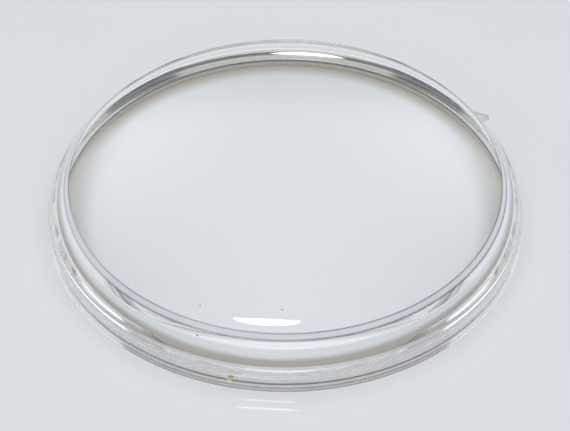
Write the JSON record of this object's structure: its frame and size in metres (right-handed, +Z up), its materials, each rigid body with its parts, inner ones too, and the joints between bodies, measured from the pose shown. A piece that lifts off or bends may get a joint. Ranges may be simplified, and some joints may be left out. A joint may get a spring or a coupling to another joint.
{
  "type": "armoured watch crystal",
  "caption": "Low-domed clear acrylic watch crystal with bevelled edge, press-in rim and a polished metal tension ring seated inside its skirt.",
  "frame": {"origin": "centre of the flat bottom face of the crystal, which goes down onto the case seat", "axes": "+Z up through the middle of the dome, along the pressing direction; -Y faces the picture's camera"},
  "size_m": [0.031, 0.031, 0.0044],
  "materials": {
    "clear_acrylic": "polished clear acrylic",
    "polished_ring": "bright polished"
  },
  "bodies": {
    "root": {"crystal": "clear_acrylic", "tension_ring": "polished_ring"}
  },
  "joints": []
}
